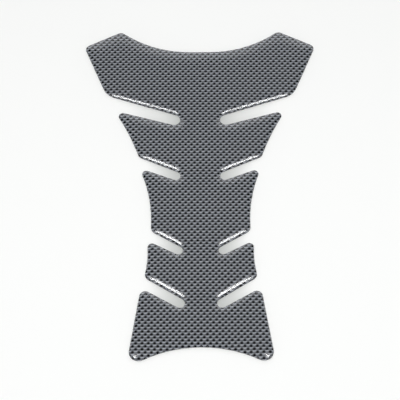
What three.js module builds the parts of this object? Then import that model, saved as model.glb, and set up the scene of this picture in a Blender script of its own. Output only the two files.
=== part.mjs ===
import * as THREE from 'three';

// A motorcycle tank pad: a printed self-adhesive film with clear resin cast over it as a low dome.
// Millimetres. The pad lies on its adhesive back at z = 0, its wide end towards +Y, and the
// origin is in the middle of the back.

// Overall size
const padWidth = 140;
const padLength = 215;

// Film under the resin
const filmThickness = 0.3;

// Section of the dome from its edge inwards, as steps in and up
const domeSection = [
  { run: 0.3, rise: 0.47 }, // steep rim
  { run: 0.7, rise: 0.56 }, // curling over
  { run: 1.2, rise: 0.54 }, // even flank
  { run: 1.8, rise: 0.33 }, // easing off
  { run: 3, rise: 0.1 }, // crown
];

// Top end: two peaks, a hollow between them, and a shoulder outside each
const peakOut = 48.7;
const peakRound = 4.2;
const topDip = 14.1; // from the peaks down to the middle of the hollow
const topHollow = 67; // radius at which the hollow climbs to each peak
const shoulderDrop = 11.9; // from the peaks down to the middle of the shoulder's round
const shoulderRound = 3.2;

// Bottom end: two feet with a shallow hollow between them
const footOut = 34.9;
const footRound = 5.4;
const bottomRise = 8; // from the feet up to the middle of the hollow

// Four slots cut in from each side. Each has a round inner end, the heel of the rib above at its
// mouth, and the tip of the rib below. `out` is measured from the centreline to the middle of a
// round, and `along` from the peaks for the upper slots and from the feet for the lower ones.
const upperSlots = [
  {
    heel: { out: 48.2, along: 35.6, round: 11.2 },
    end: { out: 15.5, along: 61.8, round: 3.5 },
    tip: { out: 46.5, along: 59.2, round: 2.4 },
  },
  {
    heel: { out: 33.2, along: 84.2, round: 3.9 },
    end: { out: 14.5, along: 99.6, round: 2.8 },
    tip: { out: 31.8, along: 98.5, round: 2.4 },
  },
];
const lowerSlots = [
  {
    heel: { out: 24.2, along: 82.1, round: 4.6 },
    end: { out: 12.9, along: 67.2, round: 2.6 },
    tip: { out: 28, along: 69.1, round: 2.6 },
  },
  {
    heel: { out: 27.9, along: 52.3, round: 4 },
    end: { out: 11.9, along: 34.4, round: 2.8 },
    tip: { out: 31.6, along: 38.5, round: 3.4 },
  },
];

// Radii of the hollow flanks of the three ribs between the slots, from the top
const flankHollows = [140, 87, 55];

// How finely the rounds and hollows are divided
const cornerSteps = 8;
const slotEndSteps = 12;
const hollowStep = 5;
const leastRound = 0.3; // a corner stays at least this round as the dome steps in
const settleSteps = 8;

// A corner of the outline. A positive round is a corner of the pad, a negative one bites into it.
function corner(out, up, round, steps = cornerSteps) {
  return { centre: new THREE.Vector2(out, up), round, steps };
}

// A point where a hollow runs smoothly into a straight edge
function blend(out, up) {
  return corner(out, up, 0, 0);
}

// The heel, end and tip of a slot, with a function that places `along` on the pad
function slotCorners({ heel, end, tip }, place) {
  return [
    corner(tip.out, place(tip.along), tip.round),
    corner(end.out, place(end.along), -end.round, slotEndSteps),
    corner(heel.out, place(heel.along), heel.round),
  ];
}

// Right-hand half of the outline, from the foot up to the middle of the top edge
function rightHalf() {
  const top = padLength / 2;
  const foot = corner(footOut, footRound - top, footRound);
  const shoulder = corner(padWidth / 2 - shoulderRound, top - shoulderDrop, shoulderRound);
  const peak = corner(peakOut, top - peakRound, peakRound);

  const climb = topHollow - topDip + peakRound;
  const flatOut = peakOut - Math.sqrt((topHollow + peakRound) ** 2 - climb ** 2);

  const upper = upperSlots.map((slot) => slotCorners(slot, (along) => top - along));
  const lower = lowerSlots.map((slot) => slotCorners(slot, (along) => along - top));
  const sides = [...upper, ...lower].reverse();
  const corners = [foot, ...sides.flat(), shoulder, peak, blend(flatOut, top - topDip)];

  const flanks = [...flankHollows].reverse();
  const hollows = [0, ...sides.flatMap((_, i) => [0, 0, flanks[i] ?? 0]), 0, topHollow];
  return { corners, hollows };
}

// Radius of the bottom hollow that touches both feet and rises to bottomRise between them
function bottomHollow() {
  const rest = footRound - bottomRise;
  return (footOut ** 2 + rest ** 2 - footRound ** 2) / (2 * bottomRise);
}

// The edge from one corner to the next, with the pad on its left: straight where hollow is 0,
// and otherwise an arc of that radius about a centre outside the pad
function edgeBetween(from, to, hollow) {
  const span = to.centre.clone().sub(from.centre);
  const heading = span.angle();
  if (hollow === 0) {
    const lean = Math.asin((to.round - from.round) / span.length());
    const side = heading - lean + Math.PI / 2;
    const inward = new THREE.Vector2(Math.cos(side), Math.sin(side));
    const point = from.centre.clone().addScaledVector(inward, -from.round);
    return { point, inward, steps: 0 };
  }
  const fromCentre = hollow + from.round;
  const toCentre = hollow + to.round;
  const along = (fromCentre ** 2 - toCentre ** 2 + span.lengthSq()) / (2 * span.length());
  const offset = new THREE.Vector2(along, -Math.sqrt(fromCentre ** 2 - along ** 2));
  const centre = offset.rotateAround(new THREE.Vector2(), heading).add(from.centre);
  return { centre, radius: hollow, steps: Math.ceil(span.length() / hollowStep) };
}

// How deep a point lies inside an edge, and which way is inward there
function depthInside(edge, point) {
  if (edge.centre === undefined) {
    const depth = point.clone().sub(edge.point).dot(edge.inward);
    return { depth, inward: edge.inward };
  }
  const arm = point.clone().sub(edge.centre);
  return { depth: arm.length() - edge.radius, inward: arm.normalize() };
}

// The point near `start` that lies at the same depth inside both edges
function settle(start, before, after, depth) {
  const point = start.clone();
  for (let i = 0; i < settleSteps; i += 1) {
    const a = depthInside(before, point);
    const b = depthInside(after, point);
    const turn = a.inward.cross(b.inward);
    const missA = depth - a.depth;
    const missB = depth - b.depth;
    point.x += (missA * b.inward.y - missB * a.inward.y) / turn;
    point.y += (missB * a.inward.x - missA * b.inward.x) / turn;
  }
  return point;
}

// The point of an edge, set in by `inset`, that lies nearest to a centre
function footOn(edge, centre, inset) {
  const { depth, inward } = depthInside(edge, centre);
  return centre.clone().addScaledVector(inward, inset - depth);
}

// Points on the arc about a centre from one point to another, turning the given way
function arcPoints(centre, from, to, steps, way) {
  const start = from.clone().sub(centre);
  const startAngle = start.angle();
  const endAngle = to.clone().sub(centre).angle();
  const turn = 2 * Math.PI;
  const sweep = way * ((way * (endAngle - startAngle) + turn) % turn);
  const points = [];
  for (let i = 0; i <= steps; i += 1) {
    const point = start.clone().rotateAround(new THREE.Vector2(), (sweep * i) / steps);
    points.push(point.add(centre));
  }
  return points;
}

// The whole outline as corners and the edges between them, counterclockwise
const half = rightHalf();
const mirrored = half.corners.map((c) => corner(-c.centre.x, c.centre.y, c.round, c.steps)).reverse();
const corners = [...half.corners, ...mirrored];
const hollows = [...half.hollows, 0, ...half.hollows.toReversed(), bottomHollow()];
const edges = corners.map((c, i) => edgeBetween(c, corners[(i + 1) % corners.length], hollows[i]));

// A corner once the outline is set in: where it leaves one edge and meets the next, and the arc
function cornerArc(index, inset) {
  const { centre, round, steps } = corners[index];
  const before = edges.at(index - 1);
  const after = edges[index];
  // A corner of the pad sharpens about its own middle down to leastRound, then moves inwards
  const depth = Math.max(round, inset + leastRound);
  const middle = round > 0 ? settle(centre, before, after, depth) : centre;
  const from = footOn(before, middle, inset);
  if (steps === 0) {
    return [from];
  }
  const to = footOn(after, middle, inset);
  return arcPoints(middle, from, to, steps, Math.sign(round));
}

// The outline set in by `inset`. Every inset gives the same number of points.
function outline(inset) {
  const arcs = corners.map((_, i) => cornerArc(i, inset));
  const points = [];
  arcs.forEach((arc, i) => {
    points.push(...arc);
    const { centre, steps } = edges[i];
    if (steps > 0) {
      const next = arcs[(i + 1) % arcs.length][0];
      points.push(...arcPoints(centre, arc.at(-1), next, steps, -1).slice(1, -1));
    }
  });
  return points;
}

// A closed body through a stack of rings of equal length, flat at its bottom and top
function stack(rings) {
  const count = rings[0].points.length;
  const positions = rings.flatMap(({ points, z }) => points.flatMap((p) => [p.x, p.y, z]));
  const faces = [];
  for (let ring = 1; ring < rings.length; ring += 1) {
    for (let i = 0; i < count; i += 1) {
      const below = (ring - 1) * count;
      const next = (i + 1) % count;
      const [a, b] = [below + i, below + next];
      const [c, d] = [b + count, a + count];
      faces.push(a, b, c, a, c, d);
    }
  }
  const topStart = (rings.length - 1) * count;
  for (const [a, b, c] of THREE.ShapeUtils.triangulateShape(rings[0].points, [])) {
    faces.push(c, b, a);
  }
  for (const face of THREE.ShapeUtils.triangulateShape(rings.at(-1).points, [])) {
    faces.push(...face.map((i) => topStart + i));
  }
  const geometry = new THREE.BufferGeometry();
  geometry.setAttribute('position', new THREE.Float32BufferAttribute(positions, 3));
  geometry.setIndex(faces);
  geometry.computeVertexNormals();
  return geometry;
}

// Printed film with its own adhesive: flat, the same thickness all over
function printedFilm() {
  const points = outline(0);
  const geometry = stack([{ points, z: 0 }, { points, z: filmThickness }]);
  const material = new THREE.MeshStandardMaterial({ color: 0x5f6367, roughness: 0.5, metalness: 0 });
  const mesh = new THREE.Mesh(geometry, material);
  mesh.name = 'printed_film';
  return mesh;
}

// Clear resin: it stands on the whole film, rises quickly from the edge and levels off
function resinDome() {
  let inset = 0;
  let z = 0;
  const rings = [{ points: outline(inset), z }];
  for (const { run, rise } of domeSection) {
    inset += run;
    z += rise;
    rings.push({ points: outline(inset), z });
  }
  const material = new THREE.MeshStandardMaterial({
    color: 0xf4f6f8,
    roughness: 0.05,
    metalness: 0,
    transparent: true,
    opacity: 0.3,
  });
  const mesh = new THREE.Mesh(stack(rings), material);
  mesh.position.z = filmThickness;
  mesh.name = 'resin_dome';
  return mesh;
}

const tankPad = new THREE.Group();
tankPad.add(printedFilm(), resinDome());

export default tankPad;
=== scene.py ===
import math

import bmesh
import bpy
import numpy as np
from mathutils import Matrix, Quaternion, Vector
from mathutils.bvhtree import BVHTree


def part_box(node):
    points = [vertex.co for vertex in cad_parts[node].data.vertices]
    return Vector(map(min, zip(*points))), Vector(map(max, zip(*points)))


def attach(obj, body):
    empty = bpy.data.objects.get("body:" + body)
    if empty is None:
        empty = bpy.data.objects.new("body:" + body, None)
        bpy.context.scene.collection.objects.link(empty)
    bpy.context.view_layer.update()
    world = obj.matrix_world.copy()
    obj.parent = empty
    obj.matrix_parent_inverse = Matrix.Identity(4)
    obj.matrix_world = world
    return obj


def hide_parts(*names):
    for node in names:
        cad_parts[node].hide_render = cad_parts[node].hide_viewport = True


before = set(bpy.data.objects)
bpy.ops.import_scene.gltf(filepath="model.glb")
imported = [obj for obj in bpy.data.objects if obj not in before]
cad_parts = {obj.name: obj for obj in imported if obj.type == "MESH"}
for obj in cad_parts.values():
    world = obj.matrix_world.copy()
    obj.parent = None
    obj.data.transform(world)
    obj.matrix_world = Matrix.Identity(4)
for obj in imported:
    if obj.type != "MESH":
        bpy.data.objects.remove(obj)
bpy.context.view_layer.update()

# Camera: it looks down at the pad from beyond its narrow end with a long lens, as the photograph
# does, and takes the whole pad in with a little of the table around it.
MM = 0.001
VIEW_ELEVATION = math.radians(63.55)
VIEW_ROLL = math.radians(-0.28)
VIEW_DISTANCE = 857 * MM
VIEW_CENTRE = Vector((-0.3, -7.9, 0)) * MM
LENS = 132

towards_camera = Vector((0, -math.cos(VIEW_ELEVATION), math.sin(VIEW_ELEVATION)))
camera = bpy.data.objects.new("camera", bpy.data.cameras.new("camera"))
bpy.context.scene.collection.objects.link(camera)
camera.data.lens = LENS
camera.location = VIEW_CENTRE + VIEW_DISTANCE * towards_camera
roll = Quaternion((0, 0, 1), VIEW_ROLL)
camera.rotation_euler = (towards_camera.to_track_quat("Z", "Y") @ roll).to_euler()
bpy.context.scene.camera = camera

# Printed film: a thin dark plastic sheet, die-cut to the pad's outline, with a carbon weave
# screen-printed on its face in black and two greys. Its back is coated with adhesive all over.
WEAVE_PITCH = Vector((3.469, 3.493)) * MM  # from one dark spot to the next, across and along
# The rest of the weave is in pitches. A spot fades over its blur on both sides of its rim.
WEAVE_SHIFT = (0.01, -0.37, 0)
DARK_SPOT = {"centre": (0, 0), "half": (0.265, 0.232), "blur": 0.45}
LIGHT_SPOT = {"centre": (0.536, 0.188), "half": (0.428, 0.092), "blur": 0.95}
SLANT_CREST = 0.32  # where the lighter slanting lines run
SLANT_DEPTH = 0.22
STREAK_SIZE = Vector((4 / 3, 0.16)) * MM
STREAK_NOISE = (0.3, 0.7)  # values of the noise at which a streak is darkest and lightest
STREAK_CONTRAST = 0.14
PRINT_MID = (0.127, 0.137, 0.154, 1)
PRINT_LIGHT = (0.371, 0.388, 0.418, 1)
PRINT_DARK = (0.001, 0.001, 0.0015, 1)
PRINT_ROUGHNESS = 0.6
FILM_BODY = (0.02, 0.02, 0.022, 1)
ADHESIVE = (0.16, 0.16, 0.165, 1)
COAT_EDGE = Vector((0.01, 0.02)) * MM  # how far round the cut edge the print and adhesive fade


def new_material(name):
    material = bpy.data.materials.new(name)
    material.use_nodes = True
    tree = material.node_tree
    return material, tree, tree.nodes["Principled BSDF"]


def connect(tree, socket, value):
    """Link an input to another node's output, or set it to a value."""
    if isinstance(value, bpy.types.NodeSocket):
        tree.links.new(value, socket)
    else:
        socket.default_value = value


def add_node(tree, kind, *inputs, **settings):
    """A node of a kind, with its first inputs linked or set, and its settings."""
    node = tree.nodes.new(kind)
    for name, value in settings.items():
        setattr(node, name, value)
    for socket, value in zip(node.inputs, inputs):
        connect(tree, socket, value)
    return node


def vector_math(tree, operation, *inputs):
    node = add_node(tree, "ShaderNodeVectorMath", *inputs, operation=operation)
    gives_number = operation in ("LENGTH", "DOT_PRODUCT")
    return node.outputs["Value" if gives_number else "Vector"]


def math_node(tree, operation, *inputs):
    return add_node(tree, "ShaderNodeMath", *inputs, operation=operation).outputs[0]


def mix_colours(tree, share, below, above):
    mix = add_node(tree, "ShaderNodeMix", data_type="RGBA")
    for name, value in (("Factor_Float", share), ("A_Color", below), ("B_Color", above)):
        connect(tree, next(s for s in mix.inputs if s.identifier == name), value)
    return next(s for s in mix.outputs if s.identifier == "Result_Color")


def fade(tree, value, start, end, low=0.0, high=1.0):
    """A value turned smoothly from low at start to high at end."""
    inputs = (value, start, end, low, high)
    node = add_node(tree, "ShaderNodeMapRange", *inputs, interpolation_type="SMOOTHSTEP")
    return node.outputs["Result"]


def counted_in(tree, place, size):
    """A place counted in steps of a size across and along the pad."""
    return vector_math(tree, "MULTIPLY", place, (1 / size[0], 1 / size[1], 0))


def woven_spots(tree, weave, centre, half, blur):
    """How much a place of the weave lies in one of the spots, which sit in staggered rows."""
    distances = []
    for row in (0, 0.5):
        middle = (centre[0] + row, centre[1] + row, 0)
        moved = vector_math(tree, "SUBTRACT", weave, middle)
        wrapped = vector_math(tree, "WRAP", moved, (0.5, 0.5, 0.5), (-0.5, -0.5, -0.5))
        distances.append(vector_math(tree, "LENGTH", counted_in(tree, wrapped, half)))
    nearest = math_node(tree, "MINIMUM", *distances)
    return fade(tree, nearest, 1 - blur, 1 + blur, 1.0, 0.0)


def printed_film_material(face):
    """The weave on the face, which lies at that height, and plain plastic and adhesive below."""
    material, tree, shader = new_material("printed_film")
    place = add_node(tree, "ShaderNodeTexCoord").outputs["Object"]
    height = add_node(tree, "ShaderNodeSeparateXYZ", place).outputs["Z"]
    weave = vector_math(tree, "SUBTRACT", counted_in(tree, place, WEAVE_PITCH), WEAVE_SHIFT)
    light = woven_spots(tree, weave, **LIGHT_SPOT)
    dark = woven_spots(tree, weave, **DARK_SPOT)
    print_colour = mix_colours(tree, light, PRINT_MID, PRINT_LIGHT)
    print_colour = mix_colours(tree, dark, print_colour, PRINT_DARK)
    # Every other slanting line of yarns is a little lighter
    across = vector_math(tree, "DOT_PRODUCT", weave, (1, -1, 0))
    turn = math_node(tree, "MULTIPLY_ADD", across, math.tau, -math.tau * SLANT_CREST)
    slant = math_node(tree, "MULTIPLY_ADD", math_node(tree, "COSINE", turn), SLANT_DEPTH, 1)
    print_colour = vector_math(tree, "MULTIPLY", print_colour, slant)
    # Fine streaks along the yarns
    fibre = add_node(tree, "ShaderNodeTexNoise", counted_in(tree, place, STREAK_SIZE))
    fibre.inputs["Scale"].default_value = 1
    contrast = (1 - STREAK_CONTRAST, 1 + STREAK_CONTRAST)
    streak = fade(tree, fibre.outputs["Fac"], *STREAK_NOISE, *contrast)
    print_colour = vector_math(tree, "MULTIPLY", print_colour, streak)
    on_face = fade(tree, height, face - COAT_EDGE[1], face - COAT_EDGE[0])
    on_back = fade(tree, height, *COAT_EDGE, 1.0, 0.0)
    colour = mix_colours(tree, on_face, FILM_BODY, print_colour)
    colour = mix_colours(tree, on_back, colour, ADHESIVE)
    tree.links.new(colour, shader.inputs["Base Color"])
    shader.inputs["Roughness"].default_value = PRINT_ROUGHNESS
    shader.inputs["Specular IOR Level"].default_value = 0.0
    return material


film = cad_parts["printed_film"]
film_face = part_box("printed_film")[1].z
film.data.materials.clear()
film.data.materials.append(printed_film_material(film_face))

# Resin dome: clear resin, flooded over the printed film and held at its edge by its own surface
# tension. It stands up steeply at the rim, levels off over a few millimetres, and bonds as it
# cures. These lengths are in millimetres, in which its mesh is made.
RING_CUTS = (3, 4, 4, 4, 5)  # new rings between those of the solid, from the rim inwards
EDGE_SPACING = 1.6  # points along a ring are no further apart
TOP_SPACING = 2.5  # between the cuts that make a grid of the top
LEAST_SPACING = 0.3  # a cut goes through the points that are this near to it
SAME_PLACE = 0.001
SAME_HEIGHT = 0.0005
FLAT_ANGLE = math.radians(0.03)
RESIN_REACH = 2.2  # how far from its edge the resin still sags
RIM_RISE = 0.35  # part of its height that the resin gains at once where it clings to its edge
RIM_SOFTNESS = 0.1
RIM_TUCK = 0.02  # how deep and how far from its edge the underside is let into the film
SETTLED = 1e-14  # share of its first misfit at which the surface has settled
RESIN_IOR = 1.6
RESIN_ROUGHNESS = 0.2


def refined_dome(solid, bottom, top):
    """The solid's mesh in millimetres, with finer rings round the rim and a grid over the top."""
    bm = bmesh.new()
    bm.from_mesh(solid.data)
    bm.transform(Matrix.Scale(1 / MM, 4))
    bmesh.ops.remove_doubles(bm, verts=bm.verts, dist=SAME_PLACE)
    bmesh.ops.dissolve_limit(bm, angle_limit=FLAT_ANGLE, verts=bm.verts, edges=bm.edges)

    def level(vert):
        return round(vert.co.z, 3)

    levels = sorted({level(v) for v in bm.verts})
    for pair, cuts in zip(zip(levels, levels[1:]), RING_CUTS):
        risers = [e for e in bm.edges if tuple(sorted(level(v) for v in e.verts)) == pair]
        bmesh.ops.subdivide_edges(bm, edges=risers, cuts=cuts, use_grid_fill=True)

    def is_long_ring_edge(edge):
        low, high = sorted(v.co.z for v in edge.verts)
        return high - low < SAME_HEIGHT and edge.calc_length() > EDGE_SPACING

    while long_edges := [e for e in bm.edges if is_long_ring_edge(e)]:
        bmesh.ops.subdivide_edges(bm, edges=long_edges, cuts=1, use_grid_fill=True)

    top_faces = [f for f in bm.faces if all(v.co.z > top - SAME_HEIGHT for v in f.verts)]
    top_edges = dict.fromkeys(e for f in top_faces for e in f.edges)
    top_verts = dict.fromkeys(v for f in top_faces for v in f.verts)
    pieces = [*top_faces, *top_edges, *top_verts]
    for axis in (0, 1):
        across = Vector((1 - axis, axis, 0))
        extent = max(v.co[axis] for v in bm.verts)
        for step in range(math.ceil(-extent / TOP_SPACING), math.ceil(extent / TOP_SPACING)):
            cut = across * step * TOP_SPACING
            result = bmesh.ops.bisect_plane(
                bm, geom=pieces, dist=LEAST_SPACING, plane_co=cut, plane_no=across
            )
            pieces = result["geom"]
    above = [f for f in bm.faces if any(v.co.z > bottom + SAME_HEIGHT for v in f.verts)]
    bmesh.ops.triangulate(bm, faces=above)
    return bm


def settled_heights(bm, pinned, depth):
    """How high a liquid of that depth stands at each vertex, pinned to nothing at its rim.

    Its surface tension and weight balance where depth - height = -reach^2 * curvature, which is
    solved over the triangles by conjugate gradients."""
    bm.verts.index_update()
    count = len(bm.verts)
    place = np.array([v.co[:2] for v in bm.verts])
    corners = np.array([[v.index for v in f.verts] for f in bm.faces if len(f.verts) == 3])
    area = np.zeros(count)
    starts, ends, stiffness = [], [], []
    for k in range(3):
        start, end, apex = np.roll(corners, -k, axis=1).T
        a, b = place[start] - place[apex], place[end] - place[apex]
        twice_area = np.abs(a[:, 0] * b[:, 1] - a[:, 1] * b[:, 0])
        area += np.bincount(apex, twice_area / 6, count)
        starts.append(start)
        ends.append(end)
        # An edge draws its ends level by half the cotangent of the angle that faces it
        stiffness.append(0.5 * (a * b).sum(axis=1) / twice_area)
    start, end, stiffness = map(np.concatenate, (starts, ends, stiffness))
    stiffness *= RESIN_REACH**2

    def pull(height):
        flow = stiffness * (height[start] - height[end])
        total = area * height + np.bincount(start, flow, count) - np.bincount(end, flow, count)
        return np.where(pinned, 0, total)

    scale = area + np.bincount(start, stiffness, count) + np.bincount(end, stiffness, count)
    scale[pinned] = 1
    height = np.where(pinned, 0, depth)
    miss = np.where(pinned, 0, area * depth) - pull(height)
    heading = miss / scale
    misfit = first_misfit = miss @ heading
    while misfit > SETTLED * first_misfit:
        pulled = pull(heading)
        stride = misfit / (heading @ pulled)
        height = height + stride * heading
        miss = miss - stride * pulled
        new_misfit = miss @ (miss / scale)
        heading = miss / scale + new_misfit / misfit * heading
        misfit = new_misfit
    return height


def clear_resin_material():
    """Clear resin, which lets the print below it be lit and still shades what lies beside it."""
    material, tree, shader = new_material("clear_resin")
    shader.inputs["Base Color"].default_value = (1, 1, 1, 1)
    shader.inputs["Transmission Weight"].default_value = 1
    shader.inputs["IOR"].default_value = RESIN_IOR
    shader.inputs["Roughness"].default_value = RESIN_ROUGHNESS
    path = add_node(tree, "ShaderNodeLightPath").outputs
    lighting = math_node(tree, "MAXIMUM", path["Is Shadow Ray"], path["Is Diffuse Ray"])
    leaving = add_node(tree, "ShaderNodeNewGeometry").outputs["Backfacing"]
    passing = math_node(tree, "MULTIPLY", lighting, leaving)
    open_way = add_node(tree, "ShaderNodeBsdfTransparent").outputs[0]
    both = add_node(tree, "ShaderNodeMixShader", passing, shader.outputs[0], open_way)
    tree.links.new(both.outputs[0], tree.nodes["Material Output"].inputs["Surface"])
    return material


bottom = film_face / MM
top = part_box("resin_dome")[1].z / MM
dome_mesh = refined_dome(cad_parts["resin_dome"], bottom, top)
on_rim = np.array([v.co.z < bottom + SAME_HEIGHT for v in dome_mesh.verts])
height = settled_heights(dome_mesh, on_rim, top - bottom)
height *= 1 - RIM_RISE / (top - bottom)
height += RIM_RISE * (1 - np.exp(-height / RIM_SOFTNESS))
for vert, rise in zip(dome_mesh.verts, height):
    vert.co.z = bottom + rise
# No air lies between the resin and the film
underside = [f for f in dome_mesh.faces if all(v.co.z < bottom + SAME_HEIGHT for v in f.verts)]
tuck = {"thickness": RIM_TUCK, "depth": RIM_TUCK, "use_boundary": True, "use_even_offset": True}
bmesh.ops.inset_region(dome_mesh, faces=underside, **tuck)
for face in dome_mesh.faces:
    face.smooth = True
dome_mesh.transform(Matrix.Scale(MM, 4))
dome_data = bpy.data.meshes.new("clear_dome")
dome_mesh.to_mesh(dome_data)
dome_tree = BVHTree.FromBMesh(dome_mesh)
dome_mesh.free()
dome = bpy.data.objects.new("clear_dome", dome_data)
bpy.context.scene.collection.objects.link(dome)
dome_data.materials.append(clear_resin_material())
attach(dome, "root")
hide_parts("resin_dome")

# Table: plain and white, with a painted shade that darkens its colour where much of the pad
# stands round it, most in the inner ends of the slots, adding to the pad's real shadow there. It
# lies a hair below the pad, so that their faces don't fight.
TABLE_SIZE = 12
TABLE_DROP = 0.02 * MM
TABLE_COLOUR = (0.953, 0.96, 0.951, 1)
# The table's colour under full painted shade
TABLE_PAINTED_SHADE = (0.515, 0.53, 0.515, 1)
TABLE_ROUGHNESS = 0.9
SHADE_AREA = 300 * MM
SHADE_STEP = 2 * MM
SHADE_REACH = 8 * MM
SHADE_RANGE = (0.4, 1.0)  # shares of pad round a place at which the shade starts and is full

table_mesh = bmesh.new()
cells = round(SHADE_AREA / SHADE_STEP)
bmesh.ops.create_grid(table_mesh, x_segments=cells, y_segments=cells, size=SHADE_AREA / 2)
bmesh.ops.translate(table_mesh, verts=table_mesh.verts, vec=(0, 0, -TABLE_DROP))


def grid_place(vert):
    """The column and row of a point of the table's grid."""
    return tuple(round(c / SHADE_STEP) + cells // 2 for c in vert.co[:2])


# How much of the pad stands round each place of the table, which the painted shade follows
covered = np.zeros((cells + 1, cells + 1))
for vert in table_mesh.verts:
    covered[grid_place(vert)] = dome_tree.ray_cast(vert.co, (0, 0, 1))[0] is not None
offset = np.arange(-(cells // 4), cells // 4 + 1) * SHADE_STEP
weight = np.exp(-((offset / SHADE_REACH) ** 2) / 2)
weight /= weight.sum()
for axis in (0, 1):
    covered = np.apply_along_axis(np.convolve, axis, covered, weight, mode="same")
pad_around = table_mesh.verts.layers.float.new("pad_around")
for vert in table_mesh.verts:
    vert[pad_around] = covered[grid_place(vert)]
rim = [e for e in table_mesh.edges if e.is_boundary]
spread_out = bmesh.ops.extrude_edge_only(table_mesh, edges=rim)["geom"]
outer = [v for v in spread_out if isinstance(v, bmesh.types.BMVert)]
widening = TABLE_SIZE / SHADE_AREA
bmesh.ops.scale(table_mesh, verts=outer, vec=(widening, widening, 1))
table_data = bpy.data.meshes.new("table")
table_mesh.to_mesh(table_data)
table_mesh.free()
table = bpy.data.objects.new("table", table_data)
bpy.context.scene.collection.objects.link(table)
table_material, table_tree, table_shader = new_material("white_table")
around = add_node(table_tree, "ShaderNodeAttribute", attribute_name="pad_around").outputs["Fac"]
# Painted shade: the table's colour darkens towards the shade colour as more of the pad stands
# round it
painted_shade = fade(table_tree, around, *SHADE_RANGE)
table_colour_with_painted_shade = mix_colours(table_tree, painted_shade, TABLE_COLOUR, TABLE_PAINTED_SHADE)
table_tree.links.new(table_colour_with_painted_shade, table_shader.inputs["Base Color"])
table_shader.inputs["Roughness"].default_value = TABLE_ROUGHNESS
table_shader.inputs["Specular IOR Level"].default_value = 0.0
table_data.materials.append(table_material)

# Studio: a narrow strip lamp and a small lamp stand high at each side of the camera, and a broad
# panel and a dim card behind the pad. White walls all round end a little above the horizon.
SIDE_ALONG = (0.636, -0.654, -0.41)
SIDE_LAMPS = (  # the right-hand ones, which the left-hand ones mirror
    {"place": (0.391, -0.228, 1.009), "size": (0.4, 0.085), "radiance": 34},
    {"place": (0.505, -0.211, 0.962), "size": (0.11, 0.11), "radiance": 29},
)
BACK_LAMPS = (
    {"place": (0, 1.55, 1.04), "size": (3.0, 1.12), "radiance": 1.15},
    {"place": (0, 0.75, 1.7), "size": (1.6, 0.5), "radiance": 0.17},
)
WALL_TOP = math.sin(math.radians(24))
WALL_FADE = 0.05
WALL_LIGHT = 1.0
CEILING_LIGHT = 0.02


def add_lamp(place, along, size, radiance):
    """A rectangular lamp that faces the pad's middle, with its width along a direction."""
    light = bpy.data.lights.new("lamp", "AREA")
    light.shape = "RECTANGLE"
    light.size, light.size_y = size
    light.energy = radiance * math.pi * light.size * light.size_y
    back = place.normalized()
    side = (along - along.dot(back) * back).normalized()
    turn = Matrix((side, back.cross(side), back)).transposed()
    lamp = bpy.data.objects.new("lamp", light)
    lamp.matrix_world = Matrix.Translation(place) @ turn.to_4x4()
    bpy.context.scene.collection.objects.link(lamp)


for lamp in SIDE_LAMPS:
    for way in (-1, 1):
        mirror = Vector((way, 1, 1))
        place = Vector(lamp["place"]) * mirror
        add_lamp(place, Vector(SIDE_ALONG) * mirror, lamp["size"], lamp["radiance"])
for lamp in BACK_LAMPS:
    add_lamp(Vector(lamp["place"]), Vector((1, 0, 0)), lamp["size"], lamp["radiance"])

world = bpy.data.worlds.new("studio")
world.use_nodes = True
bpy.context.scene.world = world
sky = world.node_tree
direction = add_node(sky, "ShaderNodeTexCoord").outputs["Generated"]
sine = add_node(sky, "ShaderNodeSeparateXYZ", direction).outputs["Z"]
wall_edge = (WALL_TOP - WALL_FADE, WALL_TOP + WALL_FADE)
brightness = fade(sky, sine, *wall_edge, WALL_LIGHT, CEILING_LIGHT)
sky.links.new(brightness, sky.nodes["Background"].inputs["Color"])

bpy.context.scene.view_settings.view_transform = "Standard"
# Every pixel gets all its samples, so that the thin bright lines along the rims stay even
bpy.context.scene.cycles.use_adaptive_sampling = False
